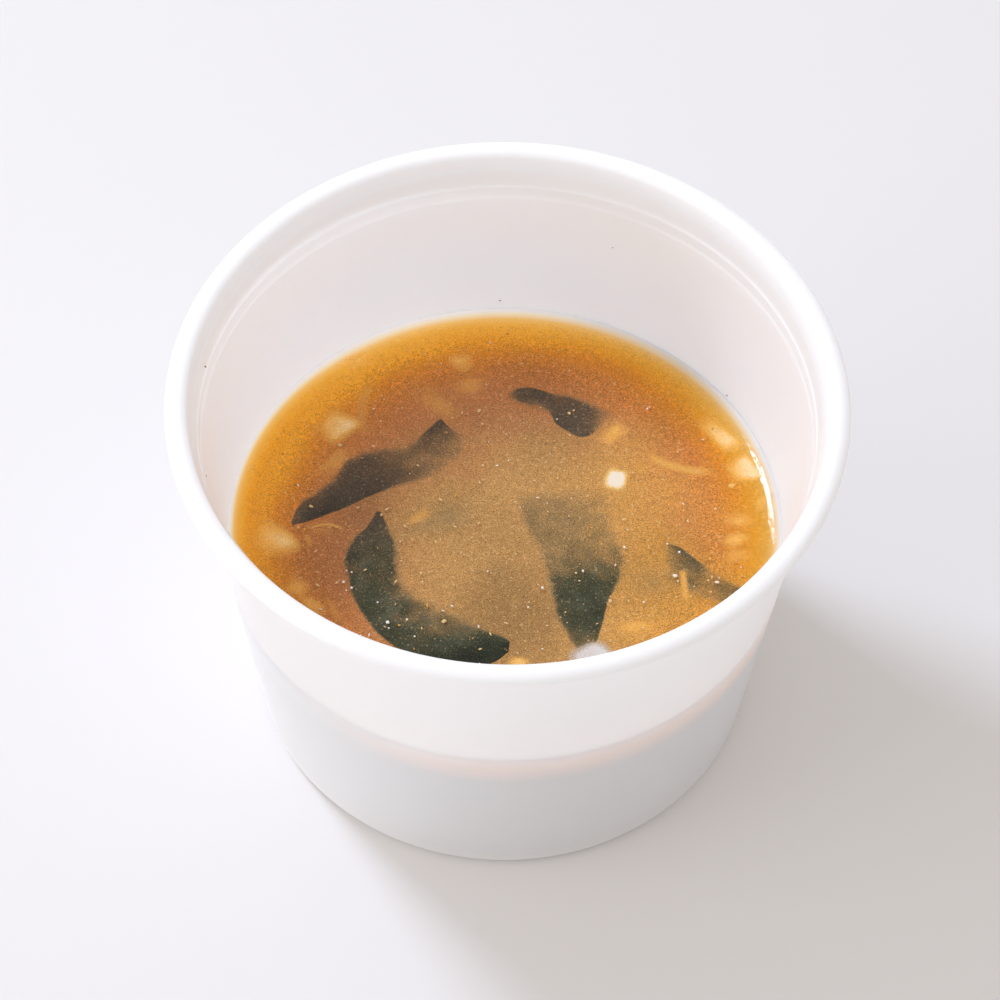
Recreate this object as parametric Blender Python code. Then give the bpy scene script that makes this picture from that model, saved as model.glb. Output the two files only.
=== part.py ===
"""Miso soup in a round white takeaway cup.

One turned cup with a rolled rim, the broth that half fills it, the wakame leaves that lie at the
broth's surface and the larger tofu pieces. Lengths are in metres, +Z is up, and the origin is the
centre of the cup's base.
"""
import math

import bmesh
import bpy
from mathutils import Matrix, Vector

MM = 0.001

# Cup: a thin tapered wall, a rounded rim bead and two small stacking steps inside.
RIM_RADIUS = 52.5 * MM
BEAD_HALF_WIDTH = 1.75 * MM
BEAD_HALF_HEIGHT = 1.2 * MM
BEAD_HEIGHT = 69.2 * MM
BASE_RADIUS = 40.2 * MM
WALL_RADIUS_AT_BEAD = 49.0 * MM
WALL_THICKNESS = 0.9 * MM
BASE_ROUNDING = 1.6 * MM
FLOOR_THICKNESS = 1.2 * MM
FLOOR_FILLET = 3.0 * MM
FOOT_INNER_RADIUS = 33.0 * MM
FOOT_RECESS = 0.7 * MM
UPPER_STEP_HEIGHT = 64.4 * MM
LOWER_STEP_HEIGHT = 62.0 * MM
STEP_DEPTH = 0.22 * MM
STEP_RISE = 0.35 * MM
STEP_LEDGE = 0.1 * MM
STEP_LIP = 0.05 * MM
UNDER_BEAD = 1.6 * MM
GROOVE_DEPTH = 2.0 * MM
GROOVE_FLARE = 0.12
CUP_SEGMENTS = 88
WELD = 0.01 * MM

# Broth: its level, and the gap that every separate piece keeps to its neighbour.
BROTH_LEVEL = 36.3 * MM
GAP = 0.3 * MM
CUTTER_TOP = BROTH_LEVEL + 4.0 * MM

# Leaves and tofu.
LEAF_THICKNESS = 0.8 * MM
LEAF_ROWS = 14
LEAF_COLUMNS = 5
LEAF_CLEARANCE = GAP + 0.45 * MM
TOFU_ROUNDING = 0.45 * MM
TOFU_SKEW = 0.1
TOFU_TAPER = 0.94
POCKET_CLEARANCE = 1.2 * GAP
POCKET_WIDENING = 1.06
LEAF_END_STEP = 0.05
END_TOLERANCE = 0.001
SHORTEST = 0.1 * MM

# Each leaf is a row of stations from one end to the other, each with its two edge points in plan.
# Then come the heights over the broth's level of the first edge, the middle and the second edge,
# each at the leaf's start, half way and end. All are in millimetres.
LEAVES = {
    "wakame_left": (
        [((-33.0, 0.0), (-33.4, 3.4)), ((-29.6, 1.4), (-29.8, 7.6)), ((-25.7, 3.4), (-27.6, 10.0)),
         ((-20.6, 6.4), (-24.9, 13.8)), ((-15.3, 8.5), (-20.2, 15.6)), ((-10.4, 11.0), (-14.4, 18.2)),
         ((-6.6, 16.6), (-10.4, 21.2))],
        [(0.0, -0.5, -1.2), (-0.5, -0.6, -1.0), (-0.8, -0.8, -0.5)]),
    "wakame_front": (
        [((-20.7, 2.8), (-19.9, 2.7)), ((-23.8, -1.8), (-17.8, -1.9)), ((-25.4, -7.2), (-16.6, -6.9)),
         ((-24.1, -13.7), (-15.0, -12.0)), ((-19.5, -21.4), (-10.6, -15.2)),
         ((-12.4, -25.6), (-5.6, -18.0)), ((-4.8, -27.2), (-1.6, -20.4)), ((0.8, -24.0), (1.0, -22.0))],
        [(-0.5, -0.4, 0.2), (-0.5, -0.6, 0.2), (-0.6, -1.0, 0.0)]),
    "wakame_middle": (
        [((2.1, 7.2), (14.8, 7.6)), ((2.8, 1.6), (17.2, 2.6)), ((4.8, -3.6), (18.6, -2.8)),
         ((6.4, -9.2), (18.9, -8.2)), ((7.4, -14.2), (17.0, -12.8)), ((9.2, -19.4), (15.6, -17.8)),
         ((10.8, -22.2), (13.2, -21.4))],
        [(-1.2, -1.0, -0.8), (-1.1, -0.8, -0.5), (-1.2, -1.0, -0.4)]),
    "wakame_back": (
        [((1.9, 28.4), (2.0, 25.3)), ((4.6, 28.4), (4.7, 24.2)), ((7.1, 27.6), (6.9, 23.0)),
         ((9.9, 27.0), (8.6, 20.6)), ((12.8, 26.3), (11.0, 18.8)), ((15.2, 24.9), (13.3, 18.8))],
        [(-0.5, -0.7, -1.0), (-0.6, -0.5, -0.8), (-0.8, -0.6, -0.6)]),
    "wakame_right": (
        [((26.0, -2.5), (25.7, -3.3)), ((29.4, -4.6), (25.8, -9.6)), ((32.6, -7.2), (29.2, -12.6)),
         ((36.0, -9.8), (33.6, -14.4)), ((39.0, -12.0), (38.0, -15.2))],
        [(-0.7, -0.7, -1.0), (-1.0, -1.0, -1.0), (-1.2, -1.1, -1.1)]),
}

# Tofu pieces: middle of the top face in plan, height of that face over the level, size along its
# own three axes (all millimetres), turn about the vertical and tilt (degrees).
TOFU = {
    "tofu_left": ((-37.0, -3.6), -0.3, (6.4, 5.2, 3.2), -40.0, 10.0),
    "tofu_front": ((14.1, -25.0), 0.5, (6.4, 5.4, 3.4), 12.0, 4.0),
    "tofu_middle": ((17.6, 10.3), 0.2, (3.0, 3.8, 2.6), -14.0, 5.0),
    "tofu_right": ((37.4, 12.0), 0.0, (4.4, 6.0, 3.0), 26.0, 8.0),
}


def clear_scene():
    for item in list(bpy.data.objects):
        bpy.data.objects.remove(item, do_unlink=True)


def material(name, colour, roughness, metallic=0.0):
    made = bpy.data.materials.new(name)
    made.use_nodes = True
    shader = made.node_tree.nodes["Principled BSDF"]
    shader.inputs["Base Color"].default_value = (*colour, 1.0)
    shader.inputs["Roughness"].default_value = roughness
    shader.inputs["Metallic"].default_value = metallic
    return made


def add_object(name, bm, finish):
    mesh = bpy.data.meshes.new(name)
    bm.to_mesh(mesh)
    bm.free()
    piece = bpy.data.objects.new(name, mesh)
    bpy.context.scene.collection.objects.link(piece)
    if finish is not None:
        mesh.materials.append(finish)
    return piece


def smooth(piece, angle=35.0):
    piece.data.shade_smooth()
    piece.data.set_sharp_from_angle(angle=math.radians(angle))


def make_cutter(piece):
    piece.hide_render = True
    piece.display_type = 'WIRE'


def outer_radius(height):
    """Radius of the cup's outer wall at a height over the base."""
    return BASE_RADIUS + (WALL_RADIUS_AT_BEAD - BASE_RADIUS) * height / BEAD_HEIGHT


def inner_radius(height):
    return outer_radius(height) - WALL_THICKNESS


def arc(centre, radii, start, end, steps):
    """Points (radius, height) along an ellipse's arc, angles in degrees."""
    points = []
    for step in range(steps + 1):
        angle = math.radians(start + (end - start) * step / steps)
        points.append((centre[0] + radii[0] * math.cos(angle), centre[1] + radii[1] * math.sin(angle)))
    return points


def turned(name, profile, finish):
    """A closed solid turned about Z from an open profile whose two ends lie on the axis."""
    bm = bmesh.new()
    verts = [bm.verts.new((radius, 0.0, height)) for radius, height in profile]
    edges = [bm.edges.new(pair) for pair in zip(verts, verts[1:])]
    bmesh.ops.spin(bm, geom=verts + edges, cent=(0, 0, 0), axis=(0, 0, 1), angle=2 * math.pi,
                   steps=CUP_SEGMENTS, use_merge=True)
    bmesh.ops.remove_doubles(bm, verts=bm.verts, dist=WELD)
    bmesh.ops.recalc_face_normals(bm, faces=bm.faces)
    piece = add_object(name, bm, finish)
    smooth(piece)
    return piece


def cup_profile():
    bead_centre = (RIM_RADIUS - BEAD_HALF_WIDTH, BEAD_HEIGHT)
    bead = (BEAD_HALF_WIDTH, BEAD_HALF_HEIGHT)
    foot_corner = (outer_radius(BASE_ROUNDING) - BASE_ROUNDING, BASE_ROUNDING)
    lower_inner = inner_radius(LOWER_STEP_HEIGHT)
    middle_inner = lower_inner + STEP_DEPTH
    fillet_top = FLOOR_THICKNESS + FLOOR_FILLET
    fillet_centre = (inner_radius(fillet_top) - FLOOR_FILLET, fillet_top)
    under_bead = BEAD_HEIGHT - UNDER_BEAD
    groove_height = BEAD_HEIGHT - GROOVE_DEPTH

    profile = [(0.0, FOOT_RECESS), (FOOT_INNER_RADIUS, FOOT_RECESS)]
    profile.append((FOOT_INNER_RADIUS + FOOT_RECESS, 0.0))
    profile += arc(foot_corner, (BASE_ROUNDING, BASE_ROUNDING), -90.0, -5.0, 3)
    profile.append((outer_radius(BEAD_HEIGHT * 0.5), BEAD_HEIGHT * 0.5))
    profile.append((outer_radius(under_bead), under_bead))
    profile += arc(bead_centre, bead, -135.0, 180.0, 11)
    upper_inner = middle_inner + STEP_DEPTH + (groove_height - UPPER_STEP_HEIGHT) * GROOVE_FLARE
    profile.append((upper_inner, groove_height))
    profile.append((middle_inner + STEP_DEPTH, UPPER_STEP_HEIGHT))
    profile.append((middle_inner + STEP_LEDGE, UPPER_STEP_HEIGHT - STEP_RISE))
    profile.append((middle_inner, LOWER_STEP_HEIGHT))
    profile.append((lower_inner - STEP_LIP, LOWER_STEP_HEIGHT - STEP_RISE))
    profile.append((inner_radius(BROTH_LEVEL), BROTH_LEVEL))
    profile += arc(fillet_centre, (FLOOR_FILLET, FLOOR_FILLET), 0.0, -90.0, 3)
    profile.append((0.0, FLOOR_THICKNESS))
    return profile


def broth_profile():
    bottom = FLOOR_THICKNESS + GAP
    fillet = (inner_radius(bottom + FLOOR_FILLET) - GAP - FLOOR_FILLET, bottom + FLOOR_FILLET)
    profile = [(0.0, bottom)]
    profile += arc(fillet, (FLOOR_FILLET, FLOOR_FILLET), -90.0, 0.0, 3)
    profile.append((inner_radius(BROTH_LEVEL) - GAP, BROTH_LEVEL))
    profile.append((0.0, BROTH_LEVEL))
    return profile


def blend(values, position):
    """Smooth curve through evenly spaced values (Catmull-Rom), position from 0 to 1."""
    last = len(values) - 1
    place = min(max(position, 0.0), 1.0) * last
    index = min(int(place), last - 1)
    t = place - index
    before = values[max(index - 1, 0)]
    a, b = values[index], values[index + 1]
    after = values[min(index + 2, last)]
    return 0.5 * (2 * a + (b - before) * t + (2 * before - 5 * a + 4 * b - after) * t * t
                  + (3 * a - before - 3 * b + after) * t * t * t)


def edge_point(stations, side, along):
    """A point in plan of a leaf's first (side 0) or second (side 1) edge."""
    return Vector([blend([station[side][axis] for station in stations], along) for axis in range(2)])


def leaf_point(shape, along, across, grow):
    """A point of a leaf's middle surface; grow widens its outline by that length."""
    stations, height_lines = shape
    first = edge_point(stations, 0, along)
    second = edge_point(stations, 1, along)
    heights = [blend(line, along) for line in height_lines]
    width = second - first
    plan = first + width * across
    plan += width.normalized() * (2 * across - 1) * grow / MM
    height = heights[0] + (heights[2] - heights[0]) * across
    height += (heights[1] - (heights[0] + heights[2]) / 2) * 4 * across * (1 - across)
    return Vector((plan.x * MM, plan.y * MM, BROTH_LEVEL + height * MM))


def leaf_sheet(shape, grow):
    """A grid of faces laid over a leaf's middle surface."""
    bm = bmesh.new()
    bmesh.ops.create_grid(bm, x_segments=LEAF_ROWS, y_segments=LEAF_COLUMNS, size=0.5)
    ends = leaf_point(shape, 1.0, 0.5, 0.0) - leaf_point(shape, 0.0, 0.5, 0.0)
    for vert in bm.verts:
        along = vert.co.x + 0.5
        across = vert.co.y + 0.5
        point = leaf_point(shape, along, across, grow)
        if grow > 0.0 and min(along, 1.0 - along) < END_TOLERANCE:
            nearer = leaf_point(shape, abs(along - LEAF_END_STEP), 0.5, 0.0)
            outward = leaf_point(shape, along, 0.5, 0.0) - nearer
            outward.z = 0.0
            if outward.length < SHORTEST:
                outward = ends * (1.0 if along > 0.5 else -1.0)
            point += outward.normalized() * grow
        vert.co = point
    return bm


def leaf(name, shape, finish):
    bm = leaf_sheet(shape, 0.0)
    bmesh.ops.recalc_face_normals(bm, faces=bm.faces)
    piece = add_object(name, bm, finish)
    thick = piece.modifiers.new("thickness", 'SOLIDIFY')
    thick.thickness = LEAF_THICKNESS
    thick.offset = 0.0
    smooth(piece, 50.0)
    return piece


def leaf_pocket(name, shape):
    """A block open to the top that holds the leaf with a clearance under and round it."""
    bm = leaf_sheet(shape, LEAF_CLEARANCE)
    for vert in bm.verts:
        vert.co.z -= LEAF_THICKNESS / 2 + LEAF_CLEARANCE
    lifted = bmesh.ops.extrude_face_region(bm, geom=bm.faces[:])
    for item in lifted["geom"]:
        if isinstance(item, bmesh.types.BMVert):
            item.co.z = CUTTER_TOP
    bmesh.ops.recalc_face_normals(bm, faces=bm.faces)
    piece = add_object(name, bm, None)
    make_cutter(piece)
    return piece


def tofu_frame(spec):
    (x, y), height, size, turn, tilt = spec
    place = Matrix.Translation((x * MM, y * MM, BROTH_LEVEL + height * MM))
    return place @ Matrix.Rotation(math.radians(turn), 4, 'Z') @ Matrix.Rotation(math.radians(tilt), 4, 'X')


def tofu(name, spec, finish):
    """A hand-cut cube: a bevelled block with slightly uneven corners."""
    size = Vector(spec[2]) * MM
    bm = bmesh.new()
    bmesh.ops.create_cube(bm, size=1.0)
    for vert in bm.verts:
        skew = 1.0 + TOFU_SKEW * vert.co.x * (1 if vert.co.y > 0 else -1)
        narrower = TOFU_TAPER if vert.co.z < 0 else 1.0
        vert.co = Vector((vert.co.x * size.x * skew * narrower, vert.co.y * size.y * narrower,
                          (vert.co.z - 0.5) * size.z))
    bmesh.ops.bevel(bm, geom=bm.edges[:] + bm.verts[:], offset=TOFU_ROUNDING, segments=2, profile=0.5,
                    affect='EDGES', material=-1)
    bmesh.ops.transform(bm, matrix=tofu_frame(spec), verts=bm.verts)
    piece = add_object(name, bm, finish)
    smooth(piece)
    return piece


def tofu_pocket(name, spec):
    """The block, larger by the gap all round and carried up past the level."""
    size = Vector(spec[2]) * MM
    width = size.x * POCKET_WIDENING + 2 * POCKET_CLEARANCE
    depth = size.y + 2 * POCKET_CLEARANCE
    bottom = -size.z - GAP
    top = CUTTER_TOP - BROTH_LEVEL
    bm = bmesh.new()
    bmesh.ops.create_cube(bm, size=1.0)
    for vert in bm.verts:
        vert.co = Vector((vert.co.x * width, vert.co.y * depth, top if vert.co.z > 0 else bottom))
    bmesh.ops.transform(bm, matrix=tofu_frame(spec), verts=bm.verts)
    piece = add_object(name, bm, None)
    make_cutter(piece)
    return piece


def cut(piece, cutter):
    knife = piece.modifiers.new("cut " + cutter.name, 'BOOLEAN')
    knife.operation = 'DIFFERENCE'
    knife.solver = 'EXACT'
    knife.object = cutter


def main():
    clear_scene()
    white = material("cup white", (0.86, 0.85, 0.84), 0.35)
    amber = material("miso broth", (0.50, 0.24, 0.06), 0.15)
    green = material("wakame green", (0.04, 0.05, 0.02), 0.35)
    cream = material("tofu cream", (0.82, 0.74, 0.60), 0.5)

    turned("cup", cup_profile(), white)
    broth = turned("broth", broth_profile(), amber)
    for name, shape in LEAVES.items():
        leaf(name, shape, green)
        cut(broth, leaf_pocket("pocket_" + name, shape))
    for name, spec in TOFU.items():
        tofu(name, spec, cream)
        cut(broth, tofu_pocket("pocket_" + name, spec))


main()
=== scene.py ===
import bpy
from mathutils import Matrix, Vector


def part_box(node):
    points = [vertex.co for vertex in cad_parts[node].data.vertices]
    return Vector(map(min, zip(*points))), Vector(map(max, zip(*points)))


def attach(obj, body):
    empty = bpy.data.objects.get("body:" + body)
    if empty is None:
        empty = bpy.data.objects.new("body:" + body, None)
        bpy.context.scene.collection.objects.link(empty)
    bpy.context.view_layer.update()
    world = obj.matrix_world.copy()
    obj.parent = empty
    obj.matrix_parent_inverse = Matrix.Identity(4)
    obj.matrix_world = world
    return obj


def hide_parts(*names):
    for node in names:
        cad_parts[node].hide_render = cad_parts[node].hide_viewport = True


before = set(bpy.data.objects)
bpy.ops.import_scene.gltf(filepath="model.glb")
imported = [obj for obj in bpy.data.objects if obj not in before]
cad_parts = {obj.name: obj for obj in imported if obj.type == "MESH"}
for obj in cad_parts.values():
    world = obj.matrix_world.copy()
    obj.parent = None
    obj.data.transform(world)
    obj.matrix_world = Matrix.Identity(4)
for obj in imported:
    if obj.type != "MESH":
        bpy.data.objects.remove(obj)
"""Miso soup in a white takeaway cup: cup wall, cloudy broth, wakame, tofu and fine bits."""
import math
import random

import bmesh
import bpy
from mathutils import Matrix, Vector, noise

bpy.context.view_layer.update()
random.seed(11)

MM = 0.001
CUP_LOW, CUP_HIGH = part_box("cup")
BROTH_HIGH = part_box("broth")[1]

# Cup, from the frame's outer sizes and the wall's own measures.
RIM_RADIUS = CUP_HIGH[0]
HEIGHT = CUP_HIGH[2]
BEAD_HALF_WIDTH = 1.75 * MM
BEAD_HALF_HEIGHT = 1.2 * MM
BEAD_HEIGHT = HEIGHT - BEAD_HALF_HEIGHT
BASE_RADIUS = 40.2 * MM
WALL_RADIUS_AT_BEAD = 49.0 * MM
WALL = 0.9 * MM
BASE_ROUNDING = 1.6 * MM
FLOOR = 1.2 * MM
FLOOR_FILLET = 3.0 * MM
FOOT_RADIUS = 33.0 * MM
FOOT_RECESS = 0.7 * MM
ROUND_STEPS = 224
WELD = 0.001 * MM
UNDER_BEAD = 1.4 * MM
STRAIGHT_TOP = 1.6 * MM
FOOT_STEP = 0.1 * MM
LIP_HEIGHT = 62

# The inner steps under the rim: how far out from the lip, and the height, in millimetres.
INNER_STEPS = [(0.78, 67.9), (0.66, 67.2), (0.56, 66.4), (0.50, 65.2), (0.46, 64.6), (0.40, 64.35),
               (0.26, 64.2), (0.22, 63.9), (0.20, 62.5), (0.17, 62.2), (0.05, 61.95), (0.0, 61.7)]

# Broth: its level, and how far its murky core lies under the clear surface.
LEVEL = BROTH_HIGH[2]
MURK_DEPTH = 3.2 * MM
SINK = 0.12
FILM_GAP = 0.08 * MM
HIDE_GAP = 0.025 * MM
SUNK_THICKNESS = 0.03 * MM
MURK_SLOPE = 13.0 * MM
MENISCUS_RISE = 1.3 * MM
MENISCUS_WIDTH = 1.25 * MM
GLOW_TURN = math.radians(137)
GLOW_DEPTH = 14.0
GLOW_SHARE = 0.62
CORE_STEPS = 60
CORE_CROWDING = 1.6
CORE_INTO_WALL = 0.25 * MM
FILM_STEPS = 56
FILM_CROWDING = 2.2
FILM_LIFT = 0.03 * MM
FILM_INTO_WALL = 0.05 * MM

# The broth's colour runs over this many millimetres from the wall, with a cloudy middle.
MURK_SPAN = 22.0
CLOUD_MIDDLE = (7.0, -8.0)

LEAF_ROWS = 96
LEAF_COLUMNS = 40
CHIP_STEPS = 16
CHIP_RIM = 3.05
CHIP_SPREAD = 1.28
EDGE_BLUR = 1.5
EDGE_SPREAD = 0.4
SLOPE_STEP = 0.02

# Soft darker places in the broth: where in plan, how far each reaches (millimetres) and the share
# of its light that is left.
SHADES = [(1.5, -16.5, 13.0, 0.7), (-28.0, -9.0, 14.0, 0.84), (4.0, 30.0, 9.0, 0.9), (8.0, 19.0, 10.0, 0.88),
          (26.0, -7.0, 15.0, 0.82), (-6.0, 2.0, 9.0, 0.92), (-23.0, 2.5, 7.0, 0.8), (27.0, 22.0, 9.0, 0.86),
          (13.0, 25.0, 9.0, 0.93), (3.0, -4.0, 8.0, 0.92)]

# Camera: where it stands, its tilt down, its roll and its lens.
CAMERA_PLACE = (-0.94 * MM, -379.4 * MM, 554.2 * MM)
CAMERA_TILT = math.radians(53.38)
CAMERA_ROLL = math.radians(1.04)
CAMERA_LENS = 144.86
SET_BACK = 1 / math.tan(CAMERA_TILT)

# Light: a soft key high at the back left, and a warm fill that is stronger on the left.
KEY_AZIMUTH = 137
KEY_RISE = 45
KEY_AWAY = 1.6
KEY_ENERGY = 5.5
KEY_COLOUR = (0.72, 0.81, 1.0)
FILL_COLOUR = (1.0, 0.955, 0.93, 1.0)
FILL_STRENGTH = 0.75
SIDE_FILL = (-0.04, 0.0, 0.0)
KEY_SIZE = 0.19
BOUNCE_AZIMUTH = 195
BOUNCE_RISE = 20
BOUNCE_AWAY = 1.2
BOUNCE_SIZE = 0.8
BOUNCE_ENERGY = 3.5
BOUNCE_COLOUR = (0.98, 0.97, 1.0)
SENSOR_WIDTH = 36.0
NEAREST = 0.01
FLOOR_SIZE = 2.0

# Leaves: stations from one end to the other. Each holds the two edge points in plan, how deep the
# leaf lies in the murk at the first edge, the middle and the second edge, and how wide each edge
# takes to blur (all in millimetres, the depth as the murk makes it look).
LEAVES = {
    "wakame_front": [
        ((-20.7, 2.8), (-19.9, 2.7), (1.3, 1.2, 1.3), (0.2, 0.2)),
        ((-22.2, -0.3), (-18.6, -0.4), (1.4, 1.3, 1.6), (0.4, 0.6)),
        ((-24.4, -2.9), (-17.2, -3.3), (1.5, 1.4, 1.7), (0.7, 1.2)),
        ((-25.6, -6.9), (-16.6, -6.3), (1.5, 1.5, 1.8), (0.9, 1.6)),
        ((-24.9, -10.2), (-16.4, -9.6), (1.6, 1.5, 1.9), (0.9, 2.0)),
        ((-24.1, -13.7), (-15.0, -12.0), (1.2, 1.5, 2.1), (0.7, 2.4)),
        ((-22.2, -17.4), (-12.8, -13.8), (1.0, 1.6, 2.2), (0.7, 2.6)),
        ((-19.5, -21.4), (-9.8, -15.4), (1.1, 1.7, 2.2), (0.8, 2.6)),
        ((-15.0, -24.8), (-6.9, -17.1), (0.7, 1.6, 2.1), (0.8, 2.2)),
        ((-9.8, -26.4), (-4.1, -18.8), (0.0, 1.2, 2.1), (0.6, 1.6)),
        ((-5.1, -27.3), (-1.6, -20.2), (0.0, 0.2, 1.9), (0.5, 1.1)),
        ((-1.4, -26.0), (0.3, -21.3), (0.0, 0.2, 1.2), (0.4, 0.5)),
        ((0.8, -24.0), (1.0, -22.0), (0.1, 0.1, 0.3), (0.2, 0.2)),
    ],
    "wakame_middle": [
        ((2.1, 7.2), (15.4, 8.1), (2.9, 2.7, 2.9), (1.6, 2.0)),
        ((2.0, 3.6), (16.9, 4.6), (2.1, 2.15, 2.5), (1.4, 2.5)),
        ((3.1, 0.3), (17.5, 1.2), (2.1, 2.15, 2.4), (1.4, 2.5)),
        ((4.4, -2.7), (18.4, -2.0), (2.1, 2.1, 2.3), (1.4, 2.0)),
        ((5.8, -5.8), (19.2, -5.1), (2.2, 1.95, 2.1), (1.6, 1.6)),
        ((6.3, -8.9), (19.0, -7.8), (2.1, 1.6, 2.0), (1.6, 1.3)),
        ((7.0, -12.0), (18.0, -11.0), (1.9, 1.2, 1.8), (1.5, 1.2)),
        ((7.6, -15.0), (16.6, -13.7), (1.9, 1.1, 1.3), (1.4, 0.6)),
        ((8.6, -18.1), (15.9, -16.5), (1.8, 1.2, 0.9), (1.2, 0.4)),
        ((9.8, -20.9), (15.3, -19.4), (1.8, 1.5, 1.3), (1.0, 0.4)),
        ((11.0, -23.0), (14.6, -21.8), (1.9, 1.8, 1.7), (0.8, 0.4)),
        ((12.0, -24.1), (13.2, -23.3), (2.4, 2.3, 2.3), (0.5, 0.4)),
    ],
    "wakame_left": [
        ((-34.0, -0.4), (-34.2, 0.6), (1.6, 1.7, 1.8), (0.3, 0.3)),
        ((-33.0, 0.0), (-33.4, 3.4), (1.0, 1.5, 1.8), (0.3, 0.6)),
        ((-31.4, 0.6), (-31.9, 5.6), (0.5, 1.4, 2.0), (0.3, 1.4)),
        ((-28.9, 1.8), (-29.1, 8.3), (0.4, 1.3, 2.0), (0.3, 1.8)),
        ((-25.7, 3.4), (-27.6, 10.0), (0.6, 1.3, 1.9), (0.3, 1.5)),
        ((-22.3, 5.5), (-26.1, 13.0), (0.8, 1.4, 1.8), (0.4, 1.3)),
        ((-19.0, 7.1), (-23.7, 14.6), (1.4, 1.4, 1.8), (0.6, 1.5)),
        ((-15.3, 8.5), (-20.2, 15.6), (1.8, 1.75, 1.9), (0.9, 1.8)),
        ((-12.3, 9.7), (-16.3, 16.4), (2.0, 2.0, 1.9), (1.2, 1.6)),
        ((-9.9, 11.6), (-14.0, 18.4), (2.2, 2.0, 1.7), (1.4, 0.5)),
        ((-8.2, 13.0), (-12.2, 20.4), (2.4, 2.0, 1.2), (1.4, 0.2)),
        ((-7.0, 14.8), (-11.0, 21.8), (2.5, 2.1, 1.1), (1.4, 0.2)),
        ((-6.6, 16.6), (-10.4, 21.2), (2.7, 2.3, 1.4), (1.3, 0.2)),
        ((-7.0, 18.2), (-9.6, 20.2), (2.9, 2.7, 2.2), (0.8, 0.3)),
    ],
    "wakame_back": [
        ((0.0, 27.5), (0.4, 26.0), (2.6, 2.4, 2.6), (0.3, 0.5)),
        ((1.9, 28.4), (2.0, 25.3), (1.5, 1.5, 1.7), (0.3, 1.0)),
        ((3.6, 28.6), (3.8, 24.4), (1.3, 1.5, 1.9), (0.2, 1.5)),
        ((5.4, 28.1), (5.5, 24.0), (1.2, 1.5, 1.9), (0.2, 1.6)),
        ((7.1, 27.6), (6.9, 23.2), (1.6, 1.5, 1.7), (0.4, 1.0)),
        ((8.9, 27.3), (7.9, 21.2), (1.7, 1.4, 1.2), (0.8, 0.4)),
        ((11.0, 26.8), (9.5, 19.9), (1.8, 1.4, 1.2), (1.0, 0.3)),
        ((13.5, 26.0), (11.4, 18.6), (1.8, 1.5, 1.4), (1.2, 0.3)),
        ((15.2, 24.9), (13.3, 18.8), (2.1, 1.8, 1.5), (1.2, 0.4)),
        ((17.4, 24.0), (15.0, 20.2), (2.7, 2.6, 2.5), (1.0, 0.8)),
    ],
    "wakame_right": [
        ((26.0, -2.5), (25.7, -3.3), (1.7, 2.1, 2.6), (0.2, 0.4)),
        ((27.8, -3.2), (25.4, -7.4), (1.6, 2.2, 2.4), (0.2, 2.0)),
        ((30.0, -5.1), (26.0, -10.6), (1.5, 2.1, 2.4), (0.3, 2.0)),
        ((31.8, -6.5), (28.0, -12.0), (1.9, 1.9, 2.4), (0.6, 2.0)),
        ((33.8, -8.2), (30.6, -13.2), (2.2, 2.2, 2.4), (0.8, 1.4)),
        ((35.8, -9.7), (33.5, -14.4), (2.0, 2.0, 2.5), (0.8, 1.4)),
        ((37.6, -10.6), (35.8, -14.4), (1.8, 1.8, 2.2), (0.8, 1.0)),
        ((39.0, -12.0), (38.0, -15.2), (2.4, 2.1, 2.4), (0.8, 0.8)),
    ],
}

# Chips: rounded bits lying in the murk. Place, length and width, turn in degrees, how deep the
# middle looks, the lean (towards which side it rises, in degrees, and by how much), how square it is
# and how much softer its edges are.
TOFU = {
    "tofu_middle": ((17.7, 10.1), (3.6, 4.4), -12, 0.2, (0, 0.0), 3.4, 2.0),
    "tofu_front": ((13.4, -24.7), (6.6, 5.6), 32, 0.5, (-30, 0.4), 4.0, 1.2),
    "tofu_left": ((-37.9, -4.1), (8.2, 7.6), -44, 1.5, (36, 1.15), 4.5, 1.0),
    "tofu_right": ((37.4, 12.2), (5.4, 5.6), -62, 1.05, (20, 0.9), 5.0, 1.1),
}
TOFU_BITS = {
    "slab": ((-28.3, 19.9), (7.0, 6.2), 50, 1.15, (-10, 0.7), 5.0, 1.0),
    "ridged": ((34.2, 20.0), (9.4, 4.2), -48, 1.0, (-50, 0.5), 3.8, 1.2),
    "crumb": ((2.4, -26.0), (3.6, 2.6), 0, 1.1, (0, 0.0), 2.5),
    "edge": ((41.0, 5.8), (5.6, 3.2), 62, 1.6, (0, 0.4), 2.5),
    "sliver": ((37.6, -1.2), (5.8, 3.4), 24, 1.5, (180, 0.7), 3.0),
    "corner": ((36.3, 9.3), (1.8, 1.1), 35, 1.2, (0, 0.0), 2.5),
}
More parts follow.
